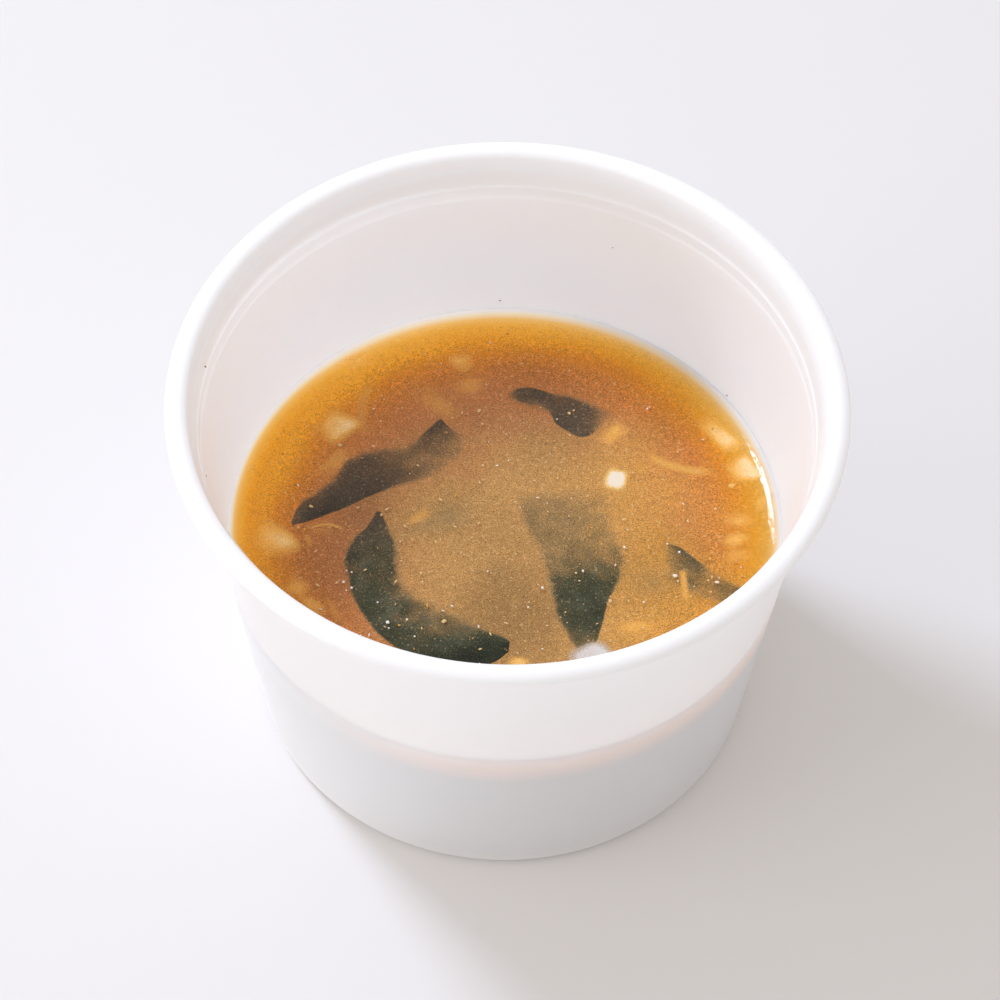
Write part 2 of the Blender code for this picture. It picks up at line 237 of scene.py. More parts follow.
FRIED_BITS = {
    "slab": ((20.8, -18.9), (7.0, 2.9), 4, 1.2, (90, 0.3), 2.8),
    "turned": ((16.9, 18.9), (6.6, 3.6), 44, 1.3, (60, 0.4), 4.0),
    "wedge": ((-6.9, 33.4), (5.4, 4.4), -58, 1.4, (180, 0.7), 4.0),
    "cloud": ((-6.2, 28.8), (7.0, 5.4), 20, 1.6, (0, 0.0), 2.5),
    "streak": ((-10.6, 24.2), (13.0, 5.8), -42, 1.7, (140, 0.3), 3.0),
    "rim": ((-24.6, 33.6), (5.0, 3.4), 28, 0.9, (200, 0.3), 3.0, 2.0),
    "speck": ((-40.9, 10.8), (2.6, 3.2), 0, 1.9, (0, 0.0), 2.5),
    "lying": ((-14.2, 1.5), (6.4, 2.8), 40, 1.6, (60, 0.3), 2.8),
    "above_leaf": ((-27.4, 12.6), (9.0, 4.4), 50, 1.55, (140, 0.5), 3.0),
    "right": ((37.4, 2.3), (6.4, 4.0), 4, 1.1, (0, 0.0), 2.5, 1.4),
    "right_low": ((37.0, -4.6), (6.4, 4.0), 12, 1.5, (0, 0.0), 2.5),
    "near": ((-32.6, -12.4), (5.0, 4.8), -20, 1.35, (0, 0.0), 2.8),
    "near_low": ((-30.2, -16.0), (6.4, 3.4), -38, 1.35, (60, 0.5), 3.0),
    "faint": ((21.8, 12.4), (8.6, 3.6), 28, 1.95, (90, 0.3), 2.5),
    "hidden_one": ((-9.5, -33.0), (5.0, 2.4), 30, 1.0, (0, 0.0), 2.5),
    "hidden_two": ((22.0, -32.0), (5.6, 2.2), -24, 1.2, (0, 0.0), 2.5),
}
SUNK_LEAVES = {
    "north": ((-8.9, 2.0), (10.0, 8.0), 20, 1.9, (0, 0.0), 2.5),
    "north_tail": ((-14.0, -0.4), (13.0, 5.6), 28, 2.1, (0, 0.0), 2.5),
    "south": ((-1.6, -8.4), (8.0, 8.0), 0, 2.5, (0, 0.0), 2.5),
    "east": ((23.8, -10.0), (9.0, 8.0), 0, 2.1, (0, 0.0), 2.5),
    "hidden": ((2.0, -35.0), (11.0, 5.0), 12, 1.0, (0, 0.0), 2.5),
}
# Onion: thin curved slices, as middle lines in plan, the width and the depth of the line.
ONION = {
    "long": ([(-22.0, 29.6), (-23.2, 26.8), (-23.7, 23.4), (-23.5, 20.0), (-22.6, 17.4)], 3.4, 1.7),
    "arc": ([(-31.9, -1.5), (-30.4, -0.4), (-28.4, 0.0), (-26.6, -0.5), (-25.0, -1.6)], 1.2, 1.1),
    "leg": ([(-31.8, -1.7), (-31.3, -3.2), (-30.7, -4.7)], 1.4, 1.4),
    "shell": ([(-31.0, -1.6), (-29.0, -1.3), (-26.8, -1.6)], 2.6, 2.1),
    "right": ([(21.8, 16.4), (24.6, 14.0), (27.8, 12.7), (31.0, 12.0), (35.0, 11.9)], 2.7, 1.0),
    "upright": ([(28.0, -6.8), (28.3, -9.2), (28.5, -11.8), (28.5, -14.6)], 1.9, 0.9),
    "near": ([(-28.4, -13.4), (-27.4, -15.4), (-26.4, -17.4), (-25.6, -19.2)], 2.4, 1.9),
}
# Larger grains that stand out: place in plan, radius and kind.
LARGE_GRAINS = [
    (6.0, -11.6, 0.34, "white"), (12.4, -8.2, 0.26, "white"), (19.0, -3.4, 0.3, "white"),
    (-2.7, -8.6, 0.22, "white"), (-8.2, -15.4, 0.26, "white"), (8.1, 22.1, 0.22, "white"),
    (16.7, -13.9, 0.42, "cream"), (3.8, -15.4, 0.28, "white"), (27.0, -8.8, 0.42, "white"),
    (27.4, -9.8, 0.26, "cream"), (11.3, -8.6, 0.28, "cream"), (10.1, 23.4, 0.38, "cream"),
    (10.8, 24.0, 0.26, "cream"), (-9.4, -18.4, 0.42, "cream"), (-13.2, -9.2, 0.3, "cream"),
    (32.6, -5.4, 0.4, "yellow"), (-31.2, 3.6, 0.36, "cream"), (-27.0, 16.0, 0.4, "cream"),
    (-21.6, 15.9, 0.3, "cream"), (-4.0, 20.9, 0.3, "cream"), (-4.6, 23.6, 0.36, "cream"),
    (28.5, 4.0, 0.34, "yellow"), (24.8, 3.6, 0.26, "yellow"), (-3.8, 12.4, 0.26, "cream"),
    (33.6, -9.9, 0.36, "white"), (32.2, -9.6, 0.26, "cream"), (22.8, 24.6, 0.22, "white"),
]
# Scattered grains of each kind: colour, how many are drawn and the range of radii.
GRAIN_KINDS = {
    "white": ((246, 230, 208), 60, (0.07, 0.16)),
    "cream": ((234, 196, 136), 190, (0.07, 0.19)),
    "yellow": ((226, 166, 66), 80, (0.08, 0.2)),
    "brown": ((150, 84, 30), 36, (0.07, 0.13)),
}
GRAIN_REACH = 42.5
BROWN_REACH = (37.0, 43.2)
CUBE_CLEARANCE = 3.0
# Small bubbles, mostly at the edge of the front leaf and by the wall at the right. They are drawn as white
# dots, so their white is a painted glint, and the ones by the right wall make up part of the highlight there.
BUBBLES = [
    (-25.4, -11.2, 0.36), (-24.1, -12.3, 0.36), (-24.9, -12.8, 0.22), (-24.2, -9.3, 0.26),
    (-25.0, -9.0, 0.2), (-19.9, -15.0, 0.26), (-18.2, -18.8, 0.5), (-18.0, -19.9, 0.26),
    (-13.9, -21.4, 0.28), (-15.2, -18.2, 0.3), (25.8, -2.6, 0.24), (27.7, -4.2, 0.34),
    (41.3, 11.2, 0.34), (42.2, 8.6, 0.4), (42.1, 6.2, 0.42), (43.0, -1.6, 0.4), (40.2, 15.0, 0.55),
]
# Crumbs on the inner wall: turn in degrees, height and radius.
WALL_SPECKS = [(92, 39.5, 0.2), (69, 54.8, 0.16), (170, 65.8, 0.2), (190, 59.5, 0.16), (36, 38.5, 0.2)]


def srgb(red, green, blue):
    """A colour on a 0 to 255 scale, as the linear values that shaders take."""
    linear = []
    for channel in (red, green, blue):
        share = channel / 255
        linear.append(share / 12.92 if share <= 0.04045 else ((share + 0.055) / 1.055) ** 2.4)
    return (*linear, 1.0)


class Value:
    """A shader value: arithmetic on it adds Math nodes to its sheet."""

    def __init__(self, sheet, socket):
        self.sheet = sheet
        self.socket = socket

    def math(self, operation, *values):
        return self.sheet.add("ShaderNodeMath", {"operation": operation}, dict(enumerate(values)))

    def __add__(self, other):
        return self.math("ADD", self, other)

    def __sub__(self, other):
        return self.math("SUBTRACT", self, other)

    def __rsub__(self, other):
        return self.math("SUBTRACT", other, self)

    def __mul__(self, other):
        return self.math("MULTIPLY", self, other)

    def __truediv__(self, other):
        return self.math("DIVIDE", self, other)

    __radd__ = __add__
    __rmul__ = __mul__

    def root(self):
        return self.math("SQRT", self)

    def step(self, low, high):
        """0 at low, 1 at high, smooth between."""
        values = {"Value": self, "From Min": low, "From Max": high}
        return self.sheet.add("ShaderNodeMapRange", {"interpolation_type": "SMOOTHSTEP"}, values)


class Sheet:
    """The node sheet of one material."""

    def __init__(self, name):
        self.material = bpy.data.materials.new(name)
        self.material.use_nodes = True
        self.material.cycles.emission_sampling = 'NONE'
        self.tree = self.material.node_tree
        self.tree.nodes.clear()
        self.where = self.add("ShaderNodeTexCoord", take="Object")
        self.x = self.axis(0)
        self.y = self.axis(1)
        self.z = self.axis(2)

    def add(self, kind, settings=None, values=None, take=0):
        """Adds a node: its settings first, then its sockets' values or links."""
        node = self.tree.nodes.new(kind)
        for key, setting in (settings or {}).items():
            if key == "stops":
                self.set_stops(node.color_ramp, setting)
            else:
                setattr(node, key, setting)
        for key, value in (values or {}).items():
            socket = node.inputs[key]
            if isinstance(value, Value):
                self.tree.links.new(value.socket, socket)
            else:
                socket.default_value = value
        return Value(self, node.outputs[take])

    @staticmethod
    def set_stops(ramp, stops):
        while len(ramp.elements) < len(stops):
            ramp.elements.new(0.5)
        for element, (place, colour) in zip(ramp.elements, stops):
            element.position = place
            element.color = colour

    def axis(self, index):
        """One Object coordinate in millimetres."""
        return self.add("ShaderNodeSeparateXYZ", values={0: self.where}, take=index) * (1 / MM)

    def reach(self):
        """Distance from the cup's axis in millimetres."""
        return (self.x * self.x + self.y * self.y).root()

    def noise(self, size, detail=2.0, roughness=0.5, take="Fac"):
        """Cloud noise whose lumps measure about size metres."""
        values = {"Vector": self.where, "Scale": 1 / size, "Detail": detail, "Roughness": roughness}
        return self.add("ShaderNodeTexNoise", values=values, take=take)

    def mix(self, share, first, second):
        return self.add("ShaderNodeMix", {"data_type": "RGBA"}, {0: share, 6: first, 7: second}, take=2)

    def scale(self, colour, share):
        """A colour made lighter or darker by a value."""
        colour = colour if isinstance(colour, Value) else colour[:3]
        return self.add("ShaderNodeVectorMath", {"operation": "SCALE"}, {0: colour, "Scale": share})

    def bump(self, height, strength, distance):
        values = {"Height": height, "Strength": strength, "Distance": distance}
        return self.add("ShaderNodeBump", values=values)

    def surface(self, shader):
        output = self.tree.nodes.new("ShaderNodeOutputMaterial")
        self.tree.links.new(shader.socket, output.inputs["Surface"])
        return self.material

    def fading(self, shader, share):
        """The shader where share is 1, nothing where it is 0."""
        clear = self.add("ShaderNodeBsdfTransparent")
        return self.add("ShaderNodeMixShader", values={0: share, 1: clear, 2: shader})


WALL_SLOPE = (WALL_RADIUS_AT_BEAD - BASE_RADIUS) / BEAD_HEIGHT


def inner_radius(height):
    return BASE_RADIUS + (WALL_RADIUS_AT_BEAD - BASE_RADIUS) * height / BEAD_HEIGHT - WALL


BROTH_RADIUS = inner_radius(LEVEL)


def murk(sheet):
    """The broth's colour: amber by the wall, russet inside it, cloudy tan in the middle."""
    from_wall = BROTH_RADIUS / MM - sheet.reach()
    drift = sheet.noise(14 * MM, 2.0) - 0.5
    west = (1.0 - sheet.x.step(-44.0, -22.0)) * (1.0 - from_wall.step(2.0, 6.0))
    # Painted light: at the back left the amber by the wall reaches further in, a glow where light comes
    # through the wall.
    painted_glow_back_left = (sheet.y - sheet.x).step(32.0, 56.0) * from_wall.step(2.0, 6.0)
    drifted = drift * from_wall.step(1.0, 8.0) * 5.0
    inward = from_wall * (1.0 + west * 0.8 - painted_glow_back_left * 0.3) + drifted
    clear = sheet.add("ShaderNodeValToRGB", {"stops": [
        (0.0, srgb(243, 236, 230)),
        (0.028, srgb(242, 216, 176)),
        (0.055, srgb(239, 188, 106)),
        (0.085, srgb(235, 174, 76)),
        (0.12, srgb(231, 163, 52)),
        (0.20, srgb(226, 149, 26)),
        (0.32, srgb(212, 129, 26)),
        (0.48, srgb(200, 121, 48)),
        (0.70, srgb(192, 120, 64)),
        (1.0, srgb(184, 121, 72)),
    ]}, {0: inward / MURK_SPAN})
    east = sheet.x - CLOUD_MIDDLE[0]
    north = sheet.y - CLOUD_MIDDLE[1]
    spread = (east * east + north * north).root() + drift * 24.0
    cloud = 1.0 - spread.step(16.0, 38.0)
    tan = sheet.mix(sheet.x.step(4.0, 34.0), srgb(186, 138, 78), srgb(214, 150, 60))
    colour = sheet.mix(cloud, clear, tan)
    for x, y, width, shade in SHADES:
        across = sheet.x - x
        back = sheet.y - y
        aside = (across * across + back * back).root() + drift * 8.0
        colour = sheet.mix(1.0 - aside.step(width * 0.2, width), colour, sheet.scale(colour, shade))
    # Painted shade: the broth is made a little darker close to the right wall.
    lit = sheet.x.step(26.0, 42.0) * (1.0 - from_wall.step(2.0, 9.0)) * from_wall.step(0.4, 1.8)
    colour = sheet.scale(colour, 1.0 - lit * 0.12)
    swirl = sheet.noise(5 * MM, 3.0) - 0.5
    lumps = sheet.noise(0.9 * MM, 1.0) - 0.5
    share = from_wall.step(0.4, 2.0) * 0.4 + from_wall.step(1.0, 9.0) * 0.6
    return speckled(sheet, sheet.scale(colour, 1.0 + swirl * 0.07 + lumps * share * 0.42), share)


def speckled(sheet, colour, share):
    """Fine miso grain over a colour: an even dither and scattered paler and darker specks."""
    fine = sheet.noise(0.2 * MM, 1.0) - 0.5
    coarse = sheet.noise(0.42 * MM, 1.0)
    pale = coarse.step(0.62, 0.74) * share
    dark = (1.0 - coarse).step(0.62, 0.76) * share
    colour = sheet.scale(colour, 1.0 + fine * share * 2.1 - dark * 0.2)
    return sheet.mix(pale * 0.34, colour, srgb(240, 206, 150))


def cup_finish():
    sheet = Sheet("cup white")
    reach = sheet.reach()
    wall_middle = (BASE_RADIUS - WALL / 2) / MM + sheet.z * WALL_SLOPE
    outside = (reach - wall_middle).step(-0.05, 0.05)
    level = LEVEL / MM
    # Painted shade: below the broth's level the outer wall is a little greyer, where the broth keeps light
    # from coming through.
    below = 1.0 - sheet.z.step(level - 9.0, level - 1.0)
    left = 1.0 - sheet.x.step(-44.0, -6.0)
    # The inner wall is a cooler white than the outer, a painted offset against the warm light the broth
    # throws on it.
    colour = sheet.mix(outside, srgb(244, 251, 255), srgb(245, 245, 246))
    colour = sheet.mix(below * outside, colour, srgb(242, 238, 236))
    # Painted light: a warm pinkish band on the outer wall just under the broth's level, except on the left.
    painted_warm_light = (1.0 - sheet.z.step(level - 1.6, level)) * sheet.z.step(level - 10.0, level - 2.0)
    painted_warm_light = painted_warm_light * (1.0 - left)
    colour = sheet.mix(painted_warm_light * outside * 0.5, colour, srgb(250, 226, 212))
    mottle = sheet.noise(3 * MM, 1.0) - 0.5
    colour = sheet.scale(colour, 1.0 + mottle * 0.02)
    # Painted light: the outer wall gives off orange light round the broth's level, except on the left, and
    # grey-white light low on the left; the inner wall gives off a faint bluish light above the broth at the
    # back.
    painted_light_band = (1.0 - sheet.z.step(level - 0.2, level + 1.8)) * sheet.z.step(level - 7.0, level - 0.8)
    painted_light_band = painted_light_band * (1.0 - left)
    side = (1.0 - sheet.z.step(level - 4.0, level + 1.5)) * left
    near = (1.0 - outside) * (1.0 - sheet.z.step(level, level + 26.0)) * sheet.y.step(-30.0, 10.0)
    painted_glow = sheet.mix(painted_light_band * outside, (0.0, 0.0, 0.0, 1.0), (0.15, 0.065, 0.035, 1.0))
    painted_glow = sheet.mix(side * outside, painted_glow, (0.06, 0.06, 0.055, 1.0))
    painted_glow = sheet.mix(near, painted_glow, (0.0, 0.05, 0.1, 1.0))
    bump = sheet.bump(sheet.noise(1.2 * MM, 0.0), 0.12, 0.1 * MM)
    shader = sheet.add("ShaderNodeBsdfPrincipled", values={
        "Base Color": colour, "Roughness": 0.38 + mottle * 0.15, "Normal": bump,
        "Emission Color": painted_glow, "Emission Strength": 1.0,
        "Subsurface Weight": 1.0, "Subsurface Radius": (1.0, 0.96, 0.93), "Subsurface Scale": 3.0 * MM})
    return sheet.surface(shader)


def flat_normal(sheet):
    return sheet.add("ShaderNodeCombineXYZ", values={"X": 0.0, "Y": 0.0, "Z": 1.0})


def wall_glow(sheet):
    """How much light comes through the wall into the broth beside it, most at the back left."""
    reach = sheet.reach()
    toward = (sheet.y * math.sin(GLOW_TURN) + sheet.x * math.cos(GLOW_TURN)) / reach
    depth_in = (BROTH_RADIUS / MM - reach) / GLOW_DEPTH
    return (toward + 0.15).step(0.0, 1.15) * (1.0 - depth_in.step(-0.6, 1.0)) * GLOW_SHARE


def broth_shader(sheet, colour, roughness):
    """The murk and all that is sunk in it: level, dull and lit through the wall."""
    shader = sheet.add("ShaderNodeBsdfPrincipled", values={
        "Base Color": colour, "Roughness": roughness, "Normal": flat_normal(sheet),
        "Emission Color": sheet.scale(colour, wall_glow(sheet)), "Emission Strength": 1.0})
    shader.socket.node.inputs["Specular IOR Level"].default_value = 0.1
    return shader


def core_finish():
    sheet = Sheet("miso broth")
    return sheet.surface(broth_shader(sheet, murk(sheet), 0.35))


def surface_finish():
    """The broth's clear wet surface: a faint sheen that lets the murk show."""
    sheet = Sheet("broth surface")
    from_wall = BROTH_RADIUS / MM - sheet.reach()
    lift = (1.0 - from_wall.step(-0.8, 2.4)) * 0.3
    inner = from_wall.step(0.3, 1.5)
    ripple = (sheet.noise(0.7 * MM, 1.0) * 0.06 + sheet.noise(6 * MM, 1.0) * 0.1) * inner
    bump = sheet.bump(lift + ripple, 1.0, 1.0 * MM)
    shader = sheet.add("ShaderNodeBsdfPrincipled", values={
        "Base Color": (1.0, 1.0, 1.0, 1.0), "Roughness": 0.04, "Normal": bump, "Metallic": 1.0})
    back = sheet.add("ShaderNodeNewGeometry", take="Backfacing")
    gloss = sheet.add("ShaderNodeFresnel", values={"IOR": 1.3, "Normal": bump})
    return sheet.surface(sheet.fading(shader, gloss * (1.0 - back) * from_wall.step(-0.2, 0.1)))


def sunk(sheet, own, veil, fade, graininess):
    """Colour and cover of a thing in the murk: its own colour, a veil over it, then nothing.

    Its top and its underside both cover, so each takes the root of what may shine through.
    """
    depth = sheet.add("ShaderNodeAttribute", {"attribute_name": "depth"}, take="Fac")
    grain = sheet.noise(0.24 * MM, 2.0, 0.6) - 0.5
    grainy = depth + grain * graininess
    return sheet.mix(grainy.step(0.2, 1.5), own, veil), 1.0 - grainy.step(*fade).root()


def leaf_finish():
    sheet = Sheet("wakame")
    patch = sheet.noise(4 * MM, 3.0)
    vein = sheet.noise(1.1 * MM, 4.0, 0.65)
    warm = (sheet.y - 0.35 * sheet.x).step(-2.0, 10.0)
    leaf = sheet.mix(patch.step(0.35, 0.7), srgb(20, 25, 9), srgb(36, 41, 18))
    leaf = sheet.mix(warm, leaf, srgb(40, 36, 26))
    leaf = sheet.scale(leaf, 0.7 + vein * 0.6)
    # The film colour is the leaf seen under a thin layer of broth; its lighter, bluer patches are a painted
    # sheen.
    film = sheet.mix(patch.step(0.45, 0.7), srgb(62, 62, 38), srgb(78, 80, 60))
    film = sheet.mix(warm, film, srgb(84, 68, 50))
    depth = sheet.add("ShaderNodeAttribute", {"attribute_name": "depth"}, take="Fac")
    film = sheet.mix(depth.step(1.5, 2.6), film, srgb(124, 104, 70))
    colour, cover = sunk(sheet, speckled(sheet, leaf, 0.15), speckled(sheet, film, 0.8), (1.3, 3.1), 1.9)
    return sunk_shader(sheet, colour, cover)


def faint_finish():
    """Leaf so deep in the murk that only an olive shade of it shows."""
    sheet = Sheet("sunk wakame")
    own = sheet.scale(srgb(104, 88, 56), 0.95 + sheet.noise(3 * MM, 2.0) * 0.1)
    colour, cover = sunk(sheet, own, speckled(sheet, srgb(138, 116, 76), 0.8), (1.0, 3.0), 1.3)
    return sunk_shader(sheet, colour, cover)


def sunk_shader(sheet, colour, cover):
    return sheet.surface(sheet.fading(broth_shader(sheet, colour, 0.45), cover))


def chip_finish(name, own, veil):
    """A pale bit in the murk: its own colour at the surface, a warm veil deeper."""
    sheet = Sheet(name)
    body = sheet.scale(own, 0.96 + sheet.noise(0.9 * MM, 3.0) * 0.08)
    colour, cover = sunk(sheet, body, speckled(sheet, veil, 0.5), (0.6, 2.75), 1.1)
    return sunk_shader(sheet, colour, cover)


def grain_finish(name, colour):
    sheet = Sheet(name)
    body = sheet.scale(colour, 0.9 + sheet.noise(1.5 * MM) * 0.2)
    shader = sheet.add("ShaderNodeBsdfPrincipled", values={"Base Color": body, "Roughness": 0.4})
    return sheet.surface(shader)


def blend(values, position):
    """Smooth curve through evenly spaced values (Catmull-Rom), position from 0 to 1."""
    last = len(values) - 1
    place = min(max(position, 0.0), 1.0) * last
    index = min(int(place), last - 1)
    t = place - index
    before = values[max(index - 1, 0)]
    a, b = values[index], values[index + 1]
    after = values[min(index + 2, last)]
    return 0.5 * (2 * a + (b - before) * t + (2 * before - 5 * a + 4 * b - after) * t * t
                  + (3 * a - before - 3 * b + after) * t * t * t)


def column(stations, along, pick):
    return blend([pick(station) for station in stations], along)


def murk_drop(from_wall):
    """How far the murky core's top lies below the clear surface."""
    return FILM_GAP + MURK_DEPTH * SINK * smooth_share((from_wall - 0.6 * MM) / MURK_SLOPE)


def sink(vert, layer, x, y, depth):
    """Sets a point between film and core, set back so that it still shows over its place in plan."""
    depth = min(max(depth, 0.0), MURK_DEPTH / MM)
    inward = min(1.0, (BROTH_RADIUS / MM + 0.1) / max(math.hypot(x, y), 1.0))
    x, y = x * inward, y * inward
    from_wall = BROTH_RADIUS - math.hypot(x, y) * MM
    drop = HIDE_GAP + (murk_drop(from_wall) - 2 * HIDE_GAP) * depth * MM / MURK_DEPTH
    height = LEVEL + meniscus(max(from_wall, 0.0)) - drop
    vert[layer] = depth
    vert.co = (x * MM, y * MM + (LEVEL - height) * SET_BACK, height)


def leaf_point(vert, layer, stations):
    along, across = vert.co.x + 0.5, vert.co.y + 0.5
    first = Vector([column(stations, along, lambda s, i=i: s[0][i]) for i in (0, 1)])
    second = Vector([column(stations, along, lambda s, i=i: s[1][i]) for i in (0, 1)])
    near, middle, far = [column(stations, along, lambda s, i=i: s[2][i]) for i in range(3)]
    blur = [max(column(stations, along, lambda s, i=i: s[3][i]), 0.3) * EDGE_BLUR for i in (0, 1)]
    over = (second - first).normalized() if second != first else Vector((0.0, 0.0))
    first -= over * blur[0] * EDGE_SPREAD
    second += over * blur[1] * EDGE_SPREAD
    plan = first + (second - first) * across
    depth = near + (far - near) * across + (middle - (near + far) / 2) * 4 * across * (1 - across)
    width = (second - first).length
    wobble = 0.25 * noise.noise(Vector((plan.x / 1.3, plan.y / 1.3, 3.0)))
    for reach, soft in ((width * across, blur[0]), (width * (1 - across), blur[1])):
        depth += (MURK_DEPTH / MM - depth) * (1 - smooth_share(reach / (soft * (1 + wobble))))
    depth += 0.3 * (noise.noise(Vector((plan.x / 2.4, plan.y / 2.4, 8.0))))
    sink(vert, layer, plan.x, plan.y, max(depth, 0.0))


def finished(name, bm, finish, replaced=()):
    """Turns a bmesh into a shaded piece that rides with the cup."""
    mesh = bpy.data.meshes.new(name)
    bm.to_mesh(mesh)
    bm.free()
    mesh.shade_smooth()
    piece = bpy.data.objects.new(name, mesh)
    bpy.context.scene.collection.objects.link(piece)
    mesh.materials.append(finish)
    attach(piece, "root")
    if replaced:
        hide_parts(*replaced)
    return piece


def thicken(piece):
    thick = piece.modifiers.new("thickness", 'SOLIDIFY')
    thick.thickness = SUNK_THICKNESS
    thick.offset = -1.0
    return shadowless(piece)


def shadowless(piece):
    """A thing that the murk round it lights as much as the lamps do, so it darkens nothing."""
    piece.visible_shadow = False
    piece.visible_diffuse = False
    return piece


def leaf(name, stations, finish):
    bm = bmesh.new()
    layer = bm.verts.layers.float.new("depth")
    bmesh.ops.create_grid(bm, x_segments=LEAF_ROWS, y_segments=LEAF_COLUMNS, size=0.5)
    for vert in bm.verts:
        leaf_point(vert, layer, stations)
    return thicken(finished(name + "_leaf", bm, finish, (name,)))


def add_chip(bm, layer, place, size, turned, middle, lean, squareness, soft=1.0):
    """A rounded chip in the murk. It leans up to one side, and its deeper edges blur more."""
    made = bmesh.ops.create_grid(bm, x_segments=CHIP_STEPS, y_segments=CHIP_STEPS, size=1.0)
    angle = math.radians(turned)
    upward, rise = math.radians(lean[0]), lean[1]
    for vert in made["verts"]:
        u, v = vert.co.x, vert.co.y
        reach = max(abs(u), abs(v))
        length = (abs(u) ** squareness + abs(v) ** squareness) ** (1 / squareness)
        share = reach / length if length else 0.0
        wobble = 1 + 0.1 * noise.noise(Vector((place[0] + u * 1.4, place[1] + v * 1.4, 1.0)))
        x = u * share * size[0] / 2 * wobble * CHIP_SPREAD
        y = v * share * size[1] / 2 * wobble * CHIP_SPREAD
        east = x * math.cos(angle) - y * math.sin(angle)
        north = x * math.sin(angle) + y * math.cos(angle)
        toward = (east * math.cos(upward) + north * math.sin(upward)) / (max(size) / 2)
        depth = max(middle - rise * toward, 0.0)
        blur = min(max((0.2 + 0.42 * depth) * soft, 0.2), 1.0)
        depth += (CHIP_RIM - depth) * max((reach - 1 + blur) / blur, 0.0)
        sink(vert, layer, place[0] + east, place[1] + north, depth)


def add_slice(bm, layer, line, width, depth):
    """A thin curved slice along a line in plan."""
    made = bmesh.ops.create_grid(bm, x_segments=CHIP_STEPS * 2, y_segments=8, size=0.5)
    for vert in made["verts"]:
        along, across = vert.co.x + 0.5, vert.co.y * 2
        x, y = (blend([point[i] for point in line], along) for i in (0, 1))
        ahead, behind = min(along + SLOPE_STEP, 1.0), max(along - SLOPE_STEP, 0.0)
        rows = [[point[i] for point in line] for i in (0, 1)]
        slope = Vector([blend(row, ahead) - blend(row, behind) for row in rows])
        slope.normalize()
        half = width / 2 * (0.35 + 0.65 * math.sin(math.pi * along) ** 0.5)
        end = smooth_share((abs(along - 0.5) * 2 - 0.45) / 0.55)
        rim = depth + (CHIP_RIM - depth) * max(across ** 2, end)
        sink(vert, layer, x - slope.y * across * half, y + slope.x * across * half, rim)


def chips(name, table, add, finish, replaced=()):
    bm = bmesh.new()
    layer = bm.verts.layers.float.new("depth")
    for row in table:
        add(bm, layer, *row)
    return thicken(finished(name, bm, finish, replaced))


def add_grain(bm, x, y, radius, height, stretch=1.0, turned=0.0, roughness=0.35):
    made = bmesh.ops.create_icosphere(bm, subdivisions=1, radius=1.0)
    for vert in made["verts"]:
        vert.co *= 1 + roughness * noise.noise(vert.co * 1.3 + Vector((x, y, 0.0)))
    shape = Matrix.LocRotScale(Vector((x * MM, y * MM, LEVEL + height * MM)), Matrix.Rotation(turned, 3, 'Z'),
                               Vector((radius * stretch, radius, radius * 0.5)) * MM)
    bmesh.ops.transform(bm, matrix=shape, verts=made["verts"])


def scatter():
    """Miso grains all through the surface, dark crumbs at the edge, and small bubbles as white dots of
    painted glint.
    """
    for kind, (colour, count, radii) in GRAIN_KINDS.items():
        bm = bmesh.new()
        for x, y, radius, large_kind in LARGE_GRAINS:
            if large_kind == kind:
                add_grain(bm, x, y, radius * 0.8, 0.0, random.uniform(1.0, 1.6), random.uniform(0, math.pi))
        for _ in range(count):
            turned = random.uniform(0, 2 * math.pi)
            reach = GRAIN_REACH * math.sqrt(random.random())
            if kind == "brown":
                reach = random.uniform(*BROWN_REACH)
            x, y = reach * math.cos(turned), reach * math.sin(turned)
            keep = 1.0 - smooth_share((math.dist((x, y), CLOUD_MIDDLE) - 16) / 26) * 0.75
            if math.dist((x, y), TOFU["tofu_middle"][0]) < CUBE_CLEARANCE:
                keep = 0.0
            if kind == "brown" or random.random() < keep:
                add_grain(bm, x, y, random.uniform(*radii), -0.02, random.uniform(1.0, 2.6),
                          random.uniform(0, math.pi))
        finished("grains_" + kind, bm, grain_finish("miso grain " + kind, srgb(*colour)))
    # Painted glint: the bubbles are white dots.
    bm = bmesh.new()
    for x, y, radius in BUBBLES:
        add_grain(bm, x, y, radius * 0.7, 0.05, roughness=0.0)
    finished("bubbles", bm, grain_finish("bubble painted glint", srgb(252, 250, 248)))


def wall_specks():
    """A few tiny brown crumbs that dried on the inner wall."""
    bm = bmesh.new()
    for turned, height, radius in WALL_SPECKS:
        reach = inner_radius(height * MM) / MM
        azimuth = math.radians(turned)
        add_grain(bm, reach * math.cos(azimuth), reach * math.sin(azimuth), radius, height - LEVEL / MM)
    finished("wall_crumbs", bm, grain_finish("dried crumb", srgb(150, 120, 96)))


def arc(centre, radii, start, end, steps):
    points = []
    for step in range(steps + 1):
        angle = math.radians(start + (end - start) * step / steps)
        points.append((centre[0] + radii[0] * math.cos(angle), centre[1] + radii[1] * math.sin(angle)))
    return points


def turn(profile):
    """A round body from a profile of (radius, height) points."""
    bm = bmesh.new()
    verts = [bm.verts.new((radius, 0.0, height)) for radius, height in profile]
    edges = [bm.edges.new(pair) for pair in zip(verts, verts[1:])]
    bmesh.ops.spin(bm, geom=verts + edges, cent=(0, 0, 0), axis=(0, 0, 1), angle=2 * math.pi,
                   steps=ROUND_STEPS, use_merge=True)
    bmesh.ops.remove_doubles(bm, verts=bm.verts, dist=WELD)
    bmesh.ops.recalc_face_normals(bm, faces=bm.faces)
    return bm


